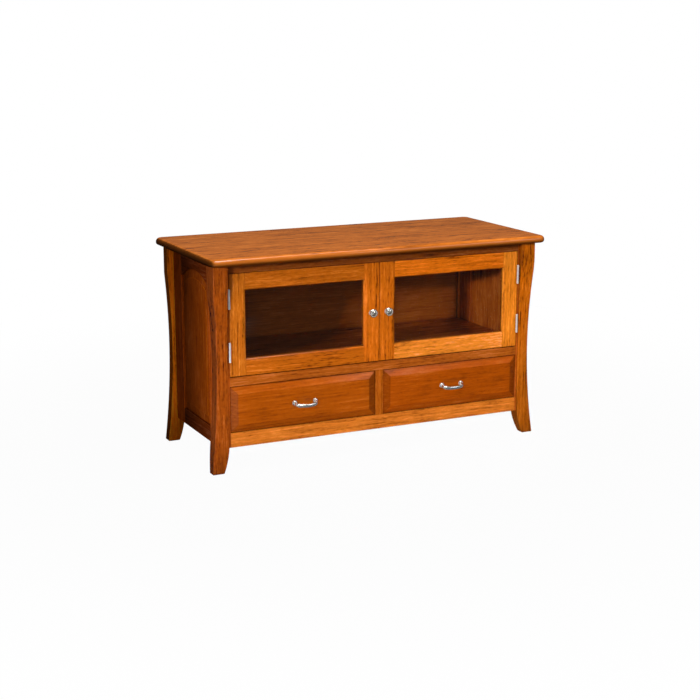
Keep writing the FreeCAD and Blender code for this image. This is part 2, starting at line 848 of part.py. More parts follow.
def make_drawer_box():
    board = drawer_board_thickness
    inner_y = drawer_front_back_y + board
    sides = [block(box_x0, box_x0 + board, drawer_front_back_y, box_back_y, box_z0, box_z1),
             block(box_x1 - board, box_x1, drawer_front_back_y, box_back_y, box_z0, box_z1)]
    front_end = block(box_x0 + board, box_x1 - board, drawer_front_back_y, inner_y, box_z0, box_z1)
    back_end = block(box_x0 + board, box_x1 - board, box_back_y - board, box_back_y, box_z0, box_z1)
    for x in pull_post_xs:
        front_end = front_end.cut(pull_screw_hole(x, screw_play))
    return [piece.cut(drawer_bottom_space()) for piece in sides + [front_end, back_end]]


def make_pull():
    turn = math.radians(pull_corner_turn)
    rest = math.pi / 2 - turn
    half = pull_centres / 2
    bend_out = pull_corner_radius * math.sin(turn)
    bend_in = pull_corner_radius * (1 - math.cos(turn))
    bow_half = half - bend_in
    bow_radius = bow_half / math.sin(rest)
    bow_rise = bow_radius * (1 - math.cos(rest))
    straight = pull_reach - bow_rise - bend_out
    droop = math.radians(pull_droop)

    # The bow lies in a plane that hangs below level from the line of the feet.
    def spot(across, out):
        return at(drawer_mid_x + across, drawer_field_y - out * math.cos(droop),
                  drawer_mid_z - out * math.sin(droop))

    root = pull_foot_thickness / 2
    half_in = pull_corner_radius * (1 - math.cos(turn / 2))
    half_out = pull_corner_radius * math.sin(turn / 2)
    bow_start = spot(-bow_half, straight + bend_out)
    bow_end = spot(bow_half, straight + bend_out)
    path = Part.Wire([
        line(spot(-half, root), spot(-half, straight)),
        arc(spot(-half, straight), spot(half_in - half, straight + half_out), bow_start),
        arc(bow_start, spot(0, pull_reach), bow_end),
        arc(bow_end, spot(half - half_in, straight + half_out), spot(half, straight)),
        line(spot(half, straight), spot(half, root)),
    ])
    start = spot(-half, root)
    upward = at(0, -math.sin(droop), math.cos(droop))
    section = Part.Wire([Part.Ellipse(start + upward * (pull_bar_height / 2),
                                      start + at(pull_bar_depth / 2, 0, 0), start).toShape()])
    pull = path.makePipeShell([section], True, False)
    outer_y = drawer_field_y - pull_foot_thickness
    for x in pull_post_xs:
        foot = rod(pull_foot_radius, at(x, drawer_field_y, drawer_mid_z), at(x, outer_y, drawer_mid_z))
        rim = [edge for edge in foot.Edges if edge.BoundBox.YMax < outer_y + 0.01]
        pull = pull.fuse(foot.makeFillet(pull_foot_round, rim))
    pull = pull.removeSplitter()
    screws = []
    inside_y = drawer_front_back_y + drawer_board_thickness
    for x in pull_post_xs:
        pull = pull.cut(pull_screw_hole(x, screw_play))
        head = rod(knob_screw_head_radius, at(x, inside_y, drawer_mid_z),
                   at(x, inside_y + knob_screw_head_thickness, drawer_mid_z))
        screws.append(head.fuse(pull_screw_hole(x, 0)).removeSplitter())
    return [pull] + screws


# One slide channel: a web and two flanges, measured out from the wall that carries the slide
def slide_channel(wall_x, out, web_near, web_far, lip_near, lip_far, half_height):
    y0 = frame_back_y + slide_front_gap
    y1 = y0 + slide_length
    middle_z = (box_z0 + box_z1) / 2

    def strip(near, far, z0, z1):
        x0 = wall_x + out * near
        x1 = wall_x + out * far
        return block(min(x0, x1), max(x0, x1), y0, y1, middle_z + z0, middle_z + z1)

    channel = strip(web_near, web_far, -half_height, half_height)
    for z0, z1 in [(-half_height, slide_wall - half_height), (half_height - slide_wall, half_height)]:
        channel = channel.fuse(strip(lip_near, lip_far, z0, z1))
    return channel.removeSplitter()


def make_slides(member):
    half = slide_height / 2
    step = slide_wall + slide_play
    lip_end = slide_thickness - slide_wall - slide_lip_gap
    sizes = {
        "outer": (0, slide_wall, 0, lip_end, half),
        "middle": (step, step + slide_wall, step, lip_end, half - step),
        "inner": (slide_thickness - slide_wall, slide_thickness, 2 * step, slide_thickness, half - 2 * step),
    }[member]
    return [slide_channel(mullion_width / 2, 1, *sizes), slide_channel(opening_x, -1, *sizes)]


os.makedirs("parts", exist_ok=True)

save("top_board", [drill_top(make_top())])
save_pair("front_leg_SIDE", [make_front_leg()])
save_pair("back_leg_SIDE", [make_back_leg()])

front_stile = make_front_stile()
save("front_stiles", [front_stile] + mirrored([front_stile]))
for rail_node in front_rail_levels():
    save(rail_node, [make_front_rail(rail_node)])
save("drawer_mullion", [make_mullion()])

side_stiles, side_rails = make_side_frame()
save_pair("side_stiles_SIDE", side_stiles)
save_pair("side_rails_SIDE", side_rails)
save_pair("side_panel_SIDE", [make_side_panel()])

save("back_rails", make_back_rails())
save("back_panel", [make_back_panel()])
save("cable_grommet", [make_cable_grommet()])

save("deck_board", [make_deck()])
save("drawer_partition", [make_partition()])
packer = make_packer()
save("slide_packers", [packer] + mirrored([packer]))
cleat = make_cleat()
save("top_cleats", [cleat] + mirrored([cleat]))
cleat_screws = make_cleat_screws()
save("top_screws", cleat_screws + mirrored(cleat_screws))

frame_leaves = make_hinge_leaves(opening_x, 1, 0)
save("hinge_frame_leaves", frame_leaves + mirrored(frame_leaves))
hinge_pins = make_hinge_pins()
save("hinge_pins", hinge_pins + mirrored(hinge_pins))
frame_screws = hinge_screws(opening_x, 1, 0)
save("hinge_frame_screws", frame_screws + mirrored(frame_screws))
catch = make_catch()
save("door_catches", [catch] + mirrored([catch]))

hinge_stile, lock_stile, door_rails = make_door_frame()
knob, knob_screw = make_knob()
save_pair("door_SIDE_hinge_stile", [hinge_stile])
save_pair("door_SIDE_lock_stile", [lock_stile])
save_pair("door_SIDE_rails", door_rails)
save_pair("door_SIDE_glass", [make_glass()])
save_pair("door_SIDE_glass_stops", make_glass_stops())
save_pair("door_SIDE_knob", [knob, knob_screw])
save_pair("door_SIDE_hinge_leaves", make_hinge_leaves(door_x1, -1, 1))
save_pair("door_SIDE_hinge_screws", hinge_screws(door_x1, -1, 0))
save_pair("door_SIDE_strike", [make_strike()])

save_pair("drawer_SIDE_front", [make_drawer_front()])
save_pair("drawer_SIDE_box", make_drawer_box())
save_pair("drawer_SIDE_bottom", [drawer_bottom_space()])
save_pair("drawer_SIDE_pull", make_pull())
save_pair("drawer_SIDE_slide_inner", make_slides("inner"))
save_pair("drawer_SIDE_slide_middle", make_slides("middle"))
outer_slides = make_slides("outer")
save("slide_outer_members", outer_slides + mirrored(outer_slides))
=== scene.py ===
import bpy
import math
import random
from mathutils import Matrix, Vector


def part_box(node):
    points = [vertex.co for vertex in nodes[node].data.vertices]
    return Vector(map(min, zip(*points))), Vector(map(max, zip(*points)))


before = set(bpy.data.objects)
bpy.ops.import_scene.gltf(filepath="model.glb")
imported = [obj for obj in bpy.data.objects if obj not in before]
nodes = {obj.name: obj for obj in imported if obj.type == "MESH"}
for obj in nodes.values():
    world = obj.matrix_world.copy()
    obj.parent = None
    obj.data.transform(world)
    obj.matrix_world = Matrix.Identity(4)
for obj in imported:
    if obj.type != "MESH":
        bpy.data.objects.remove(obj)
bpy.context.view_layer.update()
scene = bpy.context.scene
sides = ("left", "right")
print("frame loaded,", len(nodes), "nodes")


# a shader socket that takes part in sums
class Wire:
    def __init__(self, tree, socket):
        self.tree = tree
        self.socket = socket

    def calc(self, operation, *values):
        made = self.tree.nodes.new("ShaderNodeMath")
        made.operation = operation
        for slot, value in zip(made.inputs, values):
            if isinstance(value, Wire):
                self.tree.links.new(value.socket, slot)
            else:
                slot.default_value = value
        return Wire(self.tree, made.outputs[0])

    def __add__(self, other):
        return self.calc("ADD", self, other)

    def __radd__(self, other):
        return self.calc("ADD", other, self)

    def __sub__(self, other):
        return self.calc("SUBTRACT", self, other)

    def __rsub__(self, other):
        return self.calc("SUBTRACT", other, self)

    def __mul__(self, other):
        return self.calc("MULTIPLY", self, other)

    def __rmul__(self, other):
        return self.calc("MULTIPLY", other, self)

    def __pow__(self, other):
        return self.calc("POWER", self, other)

    def sine(self):
        return self.calc("SINE", self)

    def orMore(self, other):
        return self.calc("MAXIMUM", self, other)


# the nodes of one material, or of the world
class Finish:
    def __init__(self, owner):
        owner.use_nodes = True
        self.owner = owner
        self.tree = owner.node_tree
        self.tree.nodes.clear()

    # any node: settings go in first, then the values or links of its sockets
    def node(self, kind, settings=None, sockets=None, out=0):
        made = self.tree.nodes.new(kind)
        for key, value in (settings or {}).items():
            if key == "stops":
                marks = made.color_ramp.elements
                while len(marks) < len(value):
                    marks.new(0.5)
                for mark, (position, colour) in zip(marks, value):
                    mark.position = position
                    mark.color = (*colour, 1)
            else:
                setattr(made, key, value)
        for key, value in (sockets or {}).items():
            if isinstance(value, Wire):
                self.tree.links.new(value.socket, made.inputs[key])
            else:
                made.inputs[key].default_value = value
        if out is None:
            return made
        if isinstance(out, tuple):
            return [Wire(self.tree, made.outputs[index]) for index in out]
        return Wire(self.tree, made.outputs[out])

    def split(self, vector):
        return self.node("ShaderNodeSeparateXYZ", sockets={0: vector}, out=(0, 1, 2))

    def place(self):
        return self.split(self.node("ShaderNodeTexCoord", out="Object"))

    def noise(self, x, y, z, detail=3, rough=0.55):
        spot = self.node("ShaderNodeCombineXYZ", sockets={0: x, 1: y, 2: z})
        return self.node("ShaderNodeTexNoise", sockets={
            "Vector": spot, "Scale": 1, "Detail": detail, "Roughness": rough})

    def span(self, value, low, high, newLow=0, newHigh=1):
        return self.node("ShaderNodeMapRange", {"interpolation_type": "SMOOTHSTEP"}, {
            "Value": value, "From Min": low, "From Max": high, "To Min": newLow, "To Max": newHigh})

    def ramp(self, value, stops):
        return self.node("ShaderNodeValToRGB", {"stops": stops}, {0: value})

    def blend(self, share, first, second, how="MIX"):
        first, second = [c if isinstance(c, Wire) else (*c, 1) for c in (first, second)]
        return self.node("ShaderNodeMix", {"data_type": "RGBA", "blend_type": how}, {
            0: share, 6: first, 7: second}, out=2)

    # the colour times a tone, where share is 1: stain, and painted shade
    def stainAndShade(self, share, colour, tone):
        return self.blend(share, colour, self.blend(1, colour, tone, "MULTIPLY"))

    def bump(self, height, strength, distance):
        return self.node("ShaderNodeBump", sockets={
            "Strength": strength, "Distance": distance, "Height": height})

    # 0 on flat ground, 1 on an arris
    def arris(self, radius):
        eased = self.node("ShaderNodeBevel", {"samples": 4}, {"Radius": radius})
        plain = self.node("ShaderNodeNewGeometry", out="Normal")
        level = self.node("ShaderNodeVectorMath", {"operation": "DOT_PRODUCT"}, {
            0: eased, 1: plain}, out="Value")
        return self.span(1 - level, 0.01, 0.2)

    # 0 in the open, 1 deep in corners and grooves
    def nook(self, reach):
        return 1 - self.node("ShaderNodeAmbientOcclusion", {"samples": 6}, {"Distance": reach}, out="AO")

    def close(self, shader, kind="ShaderNodeOutputMaterial"):
        self.node(kind, sockets={"Surface": shader}, out=None)
        return self.owner


def newFinish(name):
    return Finish(bpy.data.materials.new(name))


# a colour as it looks on screen, 0 to 255, in linear light
def seen(*levels):
    return tuple((v / 255 / 12.92) if v < 11 else ((v / 255 + 0.055) / 1.055) ** 2.4 for v in levels)


# a colour made lighter or darker; warm takes green and blue out of it
def shade(colour, level, warm=0):
    return tuple(min(1, c * level * (1 - warm * step)) for c, step in zip(colour, (0, 1, 2)))


def dress(node, *materials):
    slots = nodes[node].data.materials
    slots.clear()
    for material in materials:
        slots.append(material)


woodLook = dict(
    ringGap=0.012, lean=0.05, leanFrom=15,              # growth rings of the log, metres
    wander=0.035, wanderDeep=0.6,                       # how far they wander, and the share of it in depth
    wanderAlong=1.7, wanderAcross=5,                    # and how often, per metre
    heartSide=0.12, heartNear=0.05, heartFar=0.16,      # where the log's heart lies, metres off the board
    streakAcross=170, streakAlong=7,                    # colour streaks, per metre
    dashAcross=230, dashAlong=42,                       # short dark dashes, per metre
    poreAcross=1100, poreAlong=60,                      # fine pores, per metre
    blotchAcross=15, blotchAlong=6,                     # mottled figure, per metre
    ringShare=0.12, streakShare=1.8, blotchShare=1.2, dashShare=1.5,
    contrast=1.12, figureAt=(0.0, 0.38, 0.60, 1.0),     # four tones about the base colour
    # the palest tone gets a little white added: painted sheen
    darkest=0.52, darkWarm=0.12, midDark=0.94, midPale=1.06, palest=0.38, paleWarm=-0.10, paintedSheen=0.012,
    fleckShare=0.55, fleckTone=0.40, fleckWarm=0.14, fleckAt=(0.56, 0.70), fleckStreakAt=(0.66, 0.40),
    poreShare=0.28, poreTone=0.45, poreWarm=0.10, poreAt=(0.56, 0.72),
    plainFrom=-1, plainTo=0, plainShare=0, plainTone=0.9,       # below this height the figure is calmer
    flankShadeTone=1, flankAt=(0.3, 0.8),                    # left and right faces painted darker: painted shade
    endTone=0.40, endFrom=0.12, endTo=0.75, endDull=0.8,        # end grain takes more stain
    nookTone=0.12, nookWarm=0.15, nookReach=0.012, nookShare=0.85,      # corners and gaps darkened: painted shade
    lowToneAndShade=(1, 1, 1), lowFrom=0, lowTo=0.001, lowDull=0,       # tone and painted shading low down, heights in metres
    arrisWide=0.0016, arrisShare=0.30, arrisTone=1.45, arrisWarm=-0.12,     # rubbed edges
    rough=0.42, roughStreak=0.16, roughBlotch=0.12, roughNook=0.15, roughArris=0.05,
    gloss=0, coat=0.6, coatRough=0.17,                  # the shine is all in the lacquer
    relief=0.10, reliefDeep=0.0006, poreRelief=0.5, dashRelief=0.4, streakRelief=0.5,
)


def woodFinish(name, grain, seed, base, look=woodLook):
    contrast = look["contrast"]
    dice = random.Random(seed)
    f = newFinish(name)
    x, y, z = f.place()
    along, across, deep = {"x": (x, z, y), "flat": (x, y, z), "y": (y, z, x), "z": (z, x, y)}[grain]
    along, side, back = [way + dice.uniform(3, 30) for way in (along, across, deep)]

    def grainNoise(kind, detail, rough=0.55):
        often = look[kind + "Across"]
        return f.noise(along * look[kind + "Along"], side * often, back * often, detail, rough)

    # the log's heart lies off the board and leans, so its rings run out in long arches
    wander = grainNoise("wander", 2) - 0.5
    u = across + dice.uniform(-look["heartSide"], look["heartSide"])
    u = u + (along - look["leanFrom"]) * dice.uniform(-1, 1) * look["lean"] + wander * look["wander"]
    v = deep + dice.choice((-1, 1)) * dice.uniform(look["heartNear"], look["heartFar"])
    v = v + wander * (look["wander"] * look["wanderDeep"])
    heart = (u * u + v * v) ** 0.5
    rings = (heart * (2 * math.pi / look["ringGap"])).sine() * 0.5 + 0.5
    streak = grainNoise("streak", 5, 0.62)
    dash = grainNoise("dash", 3, 0.6)
    pores = grainNoise("pore", 2)
    blotch = grainNoise("blotch", 3, 0.6)
    figure = (rings - 0.5) * look["ringShare"] + (streak - 0.5) * look["streakShare"] + 0.5
    figure = figure + (blotch - 0.5) * look["blotchShare"] + (dash - 0.5) * look["dashShare"]

    dark = shade(base, 1 - look["darkest"] * contrast, look["darkWarm"] * contrast)
    pale = shade(base, 1 + look["palest"] * contrast, look["paleWarm"] * contrast)
    # a little white on the pale streaks: painted sheen
    pale = tuple(c + look["paintedSheen"] for c in pale)
    tones = (dark, shade(base, look["midDark"]), shade(base, look["midPale"]), pale)
    colour = f.ramp(figure, list(zip(look["figureAt"], tones)))
    fleck = f.span(dash, *look["fleckAt"]) * f.span(streak, *look["fleckStreakAt"])
    fleckTone = shade(base, look["fleckTone"], look["fleckWarm"])
    colour = f.blend(fleck * (look["fleckShare"] * contrast), colour, fleckTone)
    poreTone = shade(base, look["poreTone"], look["poreWarm"])
    colour = f.blend(f.span(pores, *look["poreAt"]) * (look["poreShare"] * contrast), colour, poreTone)
    plain = 1 - f.span(z, look["plainFrom"], look["plainTo"])
    colour = f.blend(plain * look["plainShare"], colour, shade(base, look["plainTone"]))

    ways = f.split(f.node("ShaderNodeTexCoord", out="Normal"))
    facing, flank = ways["xyz".index(grain if grain in "yz" else "x")], ways[0]
    # the left and right faces darkened: painted shade
    colour = f.stainAndShade(f.span(flank * flank, *look["flankAt"]), colour, (look["flankShadeTone"],) * 3)
    end = f.span(facing * facing, look["endFrom"], look["endTo"])
    colour = f.stainAndShade(end, colour, (look["endTone"],) * 3)
    # darker or lighter low down: painted shading, and on one rail partly its own tone
    high = f.span(z, look["lowFrom"], look["lowTo"])
    colour = f.stainAndShade(1 - high, colour, look["lowToneAndShade"])
    # corners and gaps darkened: painted shade
    nook = f.nook(look["nookReach"])
    colour = f.blend(nook * look["nookShare"], colour, shade(base, look["nookTone"], look["nookWarm"]))
    # edges rubbed lighter; the lighter edge lines on the ends are painted highlights, the darker edges of
    # rails and doors painted shade
    arris = f.arris(look["arrisWide"])
    colour = f.blend(arris * look["arrisShare"], colour, shade(base, look["arrisTone"], look["arrisWarm"]))

    rough = look["rough"] + (streak - 0.5) * look["roughStreak"] + (blotch - 0.5) * look["roughBlotch"]
    rough = rough + nook * look["roughNook"] - arris * look["roughArris"]
    coat = look["coat"]
    if coat and (look["endDull"] or look["lowDull"]):
        coat = (1 - end * look["endDull"]) * (1 - (1 - high) * look["lowDull"]) * coat
    height = pores * look["poreRelief"] + dash * look["dashRelief"] + streak * look["streakRelief"]
    shader = f.node("ShaderNodeBsdfPrincipled", sockets={
        "Base Color": colour, "Roughness": rough, "Specular IOR Level": look["gloss"],
        "Coat Weight": coat, "Coat Roughness": look["coatRough"],
        "Normal": f.bump(height, look["relief"], look["reliefDeep"])})
    return f.close(shader)


topLook = {**woodLook, "coat": 0.9, "coatRough": 0.09, "relief": 0.03, "contrast": 1.15,
           "dashAcross": 115, "dashAlong": 20, "dashShare": 1.8,
           "streakAcross": 100, "streakAlong": 5, "blotchShare": 0.8, "endTone": 0.26, "endTo": 0.5,
           # the lower round of the edge darker: painted shade under the edge
           "lowToneAndShade": (0.48, 0.48, 0.48), "lowFrom": 0.704, "lowTo": 0.713, "lowDull": 1,
           "plainFrom": 0.712, "plainTo": 0.7258, "plainShare": 0.85}
endLook = {**woodLook, "coat": 0.1, "nookReach": 0.005,         # the ends have a flatter lacquer, and their light edge lines are painted highlights
           "arrisWide": 0.004, "arrisShare": 0.8, "arrisTone": 2.0}
# brighter edge lines on the stiles: painted highlights
endStileLook = {**endLook, "arrisTone": 3.2}
# the side faces and the lowest part darker: painted shade
footLook = {**endLook, "flankShadeTone": 0.32, "lowToneAndShade": (0.42, 0.38, 0.34), "lowFrom": 0, "lowTo": 0.24}
# the side faces darker: painted shade
legLook = {**woodLook, "contrast": 1.5, "flankShadeTone": 0.52}
# darker towards the floor: painted shade
rightLegLook = {**legLook, "lowToneAndShade": (0.66, 0.66, 0.6), "lowFrom": 0.06, "lowTo": 0.5}
railLook = {**woodLook, "arrisWide": 0.0018,                    # edges along the gaps painted dark: painted shade of the gaps
            "arrisShare": 0.85, "arrisTone": 0.18}
doorLook = {**railLook, "arrisWide": 0.0014, "arrisShare": 0.4, "contrast": 1.3}
wildStileLook = {**doorLook, "contrast": 1.6}
twoRailLook = {**doorLook, "lowFrom": 0.45, "lowTo": 0.5,       # the lower rail lighter and yellower: partly its own tone, partly painted light, as the upper rail lies in the top's shade
               "lowToneAndShade": (1.14, 1.60, 6.5)}
drawerLook = {**railLook, "streakShare": 1.2, "blotchShare": 1.0, "dashShare": 0.8, "coatRough": 0.13,
              "endTone": 0.66, "endFrom": 0.02, "endTo": 0.10, "endDull": 0}

# each board: which way its grain runs, its colour where the light is full, and its look
cherryBoards = dict(
    top_board=("flat", (204, 110, 31), topLook),
    front_leg_left=("z", (145, 65, 8), legLook),
    front_leg_right=("z", (175, 85, 4), rightLegLook),
    back_leg_left=("z", (244, 124, 18), footLook),
    back_leg_right=("z", (190, 92, 12), footLook),
    front_stiles=("z", (160, 70, 11), woodLook),
    front_top_rail=("x", (115, 54, 10), woodLook),
    front_middle_rail=("x", (149, 72, 16), railLook),
    front_bottom_rail=("x", (191, 103, 29), railLook),
    drawer_mullion=("z", (155, 75, 11), railLook),
    side_stiles_left=("z", (140, 58, 7), endStileLook),
    side_stiles_right=("z", (140, 60, 8), endStileLook),
    # written darker than the right end's rails: painted shade from the top's overhang
    side_rails_left=("y", (84, 32, 3), endLook),
    side_rails_right=("y", (120, 48, 6), endLook),
    side_panel_left=("z", (122, 52, 2), endLook),
    side_panel_right=("z", (134, 60, 6), endLook),
    back_rails=("x", (164, 78, 14), woodLook),
    deck_board=("x", (150, 72, 18), woodLook),
    drawer_left_front=("x", (151, 68, 4), drawerLook),
    drawer_right_front=("x", (149, 64, 2), drawerLook),
    door_left_hinge_stile=("z", (175, 91, 17), wildStileLook),
    door_left_lock_stile=("z", (185, 90, 10), doorLook),
    door_left_rails=("x", (169, 83, 9), doorLook),
    door_left_glass_stops=("x", (170, 84, 14), woodLook),
    door_right_hinge_stile=("z", (205, 114, 24), doorLook),
    door_right_lock_stile=("z", (180, 88, 10), doorLook),
    door_right_rails=("x", (198, 96, 8), twoRailLook),
    door_right_glass_stops=("x", (170, 84, 14), woodLook),
)
for seed, (node, (grain, colour, look)) in enumerate(cherryBoards.items(), 40):
    dress(node, woodFinish("cherry_" + node, grain, seed, seen(*colour), look))

innerLook = {**woodLook, "base": (146, 78, 28), "contrast": 0.8, "rough": 0.55, "coat": 0.0}
for seed, node in enumerate(("drawer_partition", "slide_packers", "top_cleats"), 140):
    dress(node, woodFinish("inner_" + node, "y", seed, seen(*innerLook["base"]), innerLook))

plyLook = {**woodLook, "base": (166, 84, 22), "contrast": 0.6, "rough": 0.5, "coat": 0.0,
           "ringGap": 0.03, "seed": 161}
dress("back_panel", woodFinish("ply_back_panel", "x", plyLook["seed"], seen(*plyLook["base"]), plyLook))

mapleLook = {**woodLook, "base": (222, 190, 142), "contrast": 0.55, "rough": 0.42, "coat": 0.2,
             "endSeed": 170, "sideSeed": 180, "bottomSeed": 190, "sideThick": 0.0135}
for turn, drawer in enumerate(("drawer_left", "drawer_right")):
    maple = seen(*mapleLook["base"])
    endWood = woodFinish("maple_ends_" + drawer, "x", mapleLook["endSeed"] + turn, maple, mapleLook)
    sideWood = woodFinish("maple_sides_" + drawer, "y", mapleLook["sideSeed"] + turn, maple, mapleLook)
    bottomSeed = mapleLook["bottomSeed"] + turn
    bottomWood = woodFinish("maple_bottom_" + drawer, "flat", bottomSeed, maple, mapleLook)
    dress(drawer + "_box", endWood, sideWood)
    low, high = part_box(drawer + "_box")
    for face in nodes[drawer + "_box"].data.polygons:
        inset = min(face.center.x - low[0], high[0] - face.center.x)
        face.material_index = int(inset < mapleLook["sideThick"])
    dress(drawer + "_bottom", bottomWood)
print("wood finished")

nickelLook = dict(
    base=(0.88, 0.84, 0.76), metal=0.86, brush=1400, drag=60, cloud=60,
    grainShare=0.6, patchShare=0.4, dull=0.84, dullAt=0.25, bright=1.14, brightAt=0.8,
    rough=0.21, roughGrain=0.22, roughPatch=0.12, roughNook=0.2, relief=0.12, reliefDeep=0.0002,
    nookReach=0.006, nookShare=0.6, nookTone=0.30, nookWarm=0.06,
    arrisWide=0.0008, arrisShare=0.35, arrisTone=1.35,
)
hingeLook = {**nickelLook, "base": (0.94, 0.92, 0.87), "metal": 0.5}      # bright plate under clear lacquer


# grain runs one way over the metal, and patches lie under it
def metalShader(f, grain, patch, look):
    base = look["base"]
    nook = f.nook(look["nookReach"])
    figure = grain * look["grainShare"] + patch * look["patchShare"]
    dull, bright = shade(base, look["dull"]), shade(base, look["bright"])
    colour = f.ramp(figure, [(look["dullAt"], dull), (0.5, base), (look["brightAt"], bright)])
    colour = f.blend(nook * look["nookShare"], colour, shade(base, look["nookTone"], look["nookWarm"]))
    colour = f.blend(f.arris(look["arrisWide"]) * look["arrisShare"], colour, shade(base, look["arrisTone"]))
    rough = look["rough"] + (grain - 0.5) * look["roughGrain"] + (patch - 0.5) * look["roughPatch"]
    return f.node("ShaderNodeBsdfPrincipled", sockets={
        "Base Color": colour, "Roughness": rough + nook * look["roughNook"], "Metallic": look["metal"],
        "Normal": f.bump(grain, look["relief"], look["reliefDeep"])})


def nickelFinish(name, way, seed, look):
    f = newFinish(name)
    x, y, z = f.place()
    along, across, deep = {"x": (x, y, z), "z": (z, x, y)}[way]
    fine, often = look["brush"], look["cloud"]
    brush = f.noise(along * look["drag"] + seed, across * fine, deep * fine, 3)
    cloud = f.noise(x * often + seed, y * often, z * often, 3)
    return f.close(metalShader(f, brush, cloud, look))


# each piece, and the way it is brushed
nickelPieces = dict(hinge_frame_leaves="z", hinge_frame_screws="z", hinge_pins="z")
for side in sides:
    nickelPieces["door_%s_knob" % side] = "z"
    nickelPieces["door_%s_hinge_leaves" % side] = "z"
    nickelPieces["door_%s_hinge_screws" % side] = "z"
    nickelPieces["drawer_%s_pull" % side] = "x"
for seed, (node, way) in enumerate(nickelPieces.items()):
    look = hingeLook if "hinge" in node else nickelLook
    dress(node, nickelFinish("nickel_" + node, way, seed * 3.7, look))

zincLook = dict(
    base=(0.52, 0.54, 0.56), metal=1, spangle=220, rollAcross=900, rollAlong=40,
    grainShare=0.65, patchShare=0.35, dull=0.80, dullAt=0.2, bright=1.18, brightAt=0.85,
    rough=0.36, roughGrain=0.2, roughPatch=0.1, roughNook=0.2, relief=0.10, reliefDeep=0.0002,
    nookReach=0.006, nookShare=0.6, nookTone=0.28, nookWarm=0,
    arrisWide=0.0006, arrisShare=0.3, arrisTone=1.4,
)


def zincFinish(name, seed, look=zincLook):
    f = newFinish(name)
    spot = f.node("ShaderNodeTexCoord", out="Object")
    x, y, z = f.split(spot)
    spangle = f.node("ShaderNodeTexVoronoi", sockets={"Vector": spot, "Scale": look["spangle"]}, out="Color")
    roll = f.noise(x * look["rollAcross"] + seed, y * look["rollAlong"], z * look["rollAcross"], 3)
    return f.close(metalShader(f, roll, f.split(spangle)[0], look))


zincPieces = ["slide_outer_members", "top_screws"]
for side in sides:
    zincPieces += ["drawer_%s_slide_inner" % side, "drawer_%s_slide_middle" % side, "door_%s_strike" % side]
for seed, node in enumerate(zincPieces):
    dress(node, zincFinish("zinc_" + node, seed * 2.3))

plasticLook = dict(
    base=(46, 38, 34), dull=0.8, bright=1.25, pebble=1500, cloud=45,
    rough=0.52, roughPebble=0.25, roughCloud=0.15, relief=0.15, reliefDeep=0.0003,
    dust=(70, 60, 50), nookReach=0.006, nookShare=0.4,          # dust in the corners
    arrisWide=0.001, arrisShare=0.5, arrisTone=2.4,
)


def plasticFinish(name, seed, look=plasticLook):
    base, fine, often = seen(*look["base"]), look["pebble"], look["cloud"]
    f = newFinish(name)
    x, y, z = f.place()
    pebble = f.noise(x * fine + seed, y * fine, z * fine, 2)
    cloud = f.noise(x * often + seed, y * often, z * often, 3)
    colour = f.ramp(cloud, [(0.3, shade(base, look["dull"])), (0.7, shade(base, look["bright"]))])
    colour = f.blend(f.arris(look["arrisWide"]) * look["arrisShare"], colour, shade(base, look["arrisTone"]))
    colour = f.blend(f.nook(look["nookReach"]) * look["nookShare"], colour, seen(*look["dust"]))
    rough = look["rough"] + (pebble - 0.5) * look["roughPebble"] + (cloud - 0.5) * look["roughCloud"]
    return f.close(f.node("ShaderNodeBsdfPrincipled", sockets={
        "Base Color": colour, "Roughness": rough,
        "Normal": f.bump(pebble, look["relief"], look["reliefDeep"])}))


for seed, node in enumerate(("cable_grommet", "door_catches")):
    dress(node, plasticFinish("plastic_" + node, seed * 5.1))

glassLook = dict(
    tint=(0.93, 0.96, 0.94), tintDull=0.98, through=(0.90, 0.93, 0.91), ior=1.45,
    rough=0.015, smear=0.05, smearAcross=9, smearUp=14, smearAt=(0.45, 0.75),   # wiped marks, per metre
    waveAcross=5, waveUp=3, relief=0.05, reliefDeep=0.001,      # the sheet isn't quite flat
)


def glassFinish(name, seed, look=glassLook):
    f = newFinish(name)
    x, y, z = f.place()
    marks, waves = look["smearAcross"], look["waveAcross"]
    smear = f.noise(x * marks + seed, y * marks, z * look["smearUp"], 4, 0.6)
    wave = f.noise(x * waves + seed, y * waves, z * look["waveUp"], 1)
    colour = f.ramp(smear, [(0.3, shade(look["tint"], look["tintDull"])), (0.8, look["tint"])])
    rough = look["rough"] + f.span(smear, *look["smearAt"], 0, look["smear"])
    pane = f.node("ShaderNodeBsdfPrincipled", sockets={
        "Base Color": colour, "Roughness": rough, "IOR": look["ior"], "Transmission Weight": 1,
        "Normal": f.bump(wave, look["relief"], look["reliefDeep"])})
    clear = f.node("ShaderNodeBsdfTransparent", sockets={0: (*look["through"], 1)})
    shadow, spread, glossy, through = f.node("ShaderNodeLightPath", out=(
        "Is Shadow Ray", "Is Diffuse Ray", "Is Glossy Ray", "Is Transmission Ray"))
    # shadow rays and rays off other surfaces go straight through the pane
    straight = shadow.orMore(spread).orMore(glossy * (1 - through))
    return f.close(f.node("ShaderNodeMixShader", sockets={0: straight, 1: pane, 2: clear}))


for seed, side in zip((4, 11), sides):
    dress("door_%s_glass" % side, glassFinish("glass_" + side, seed))
print("metal, plastic and glass finished")

# to glossy rays the floor is a dark card, which keeps the panes clear, with bare paper at the front left
floorLook = dict(
    reach=30, colour=(0.24, 0.24, 0.24), fibre=120, fibreDull=0.98,
    near=0.8, far=2.6, nearWhite=0.97,                  # the shadow stays near the feet
    cardLevel=0.045, cardSlope=0.38, cardEdge=-0.98, cardSoft=0.12,
    cardFront=-0.25, cardBack=-3.6, cardFade=0.3, mirror=0.6,
)


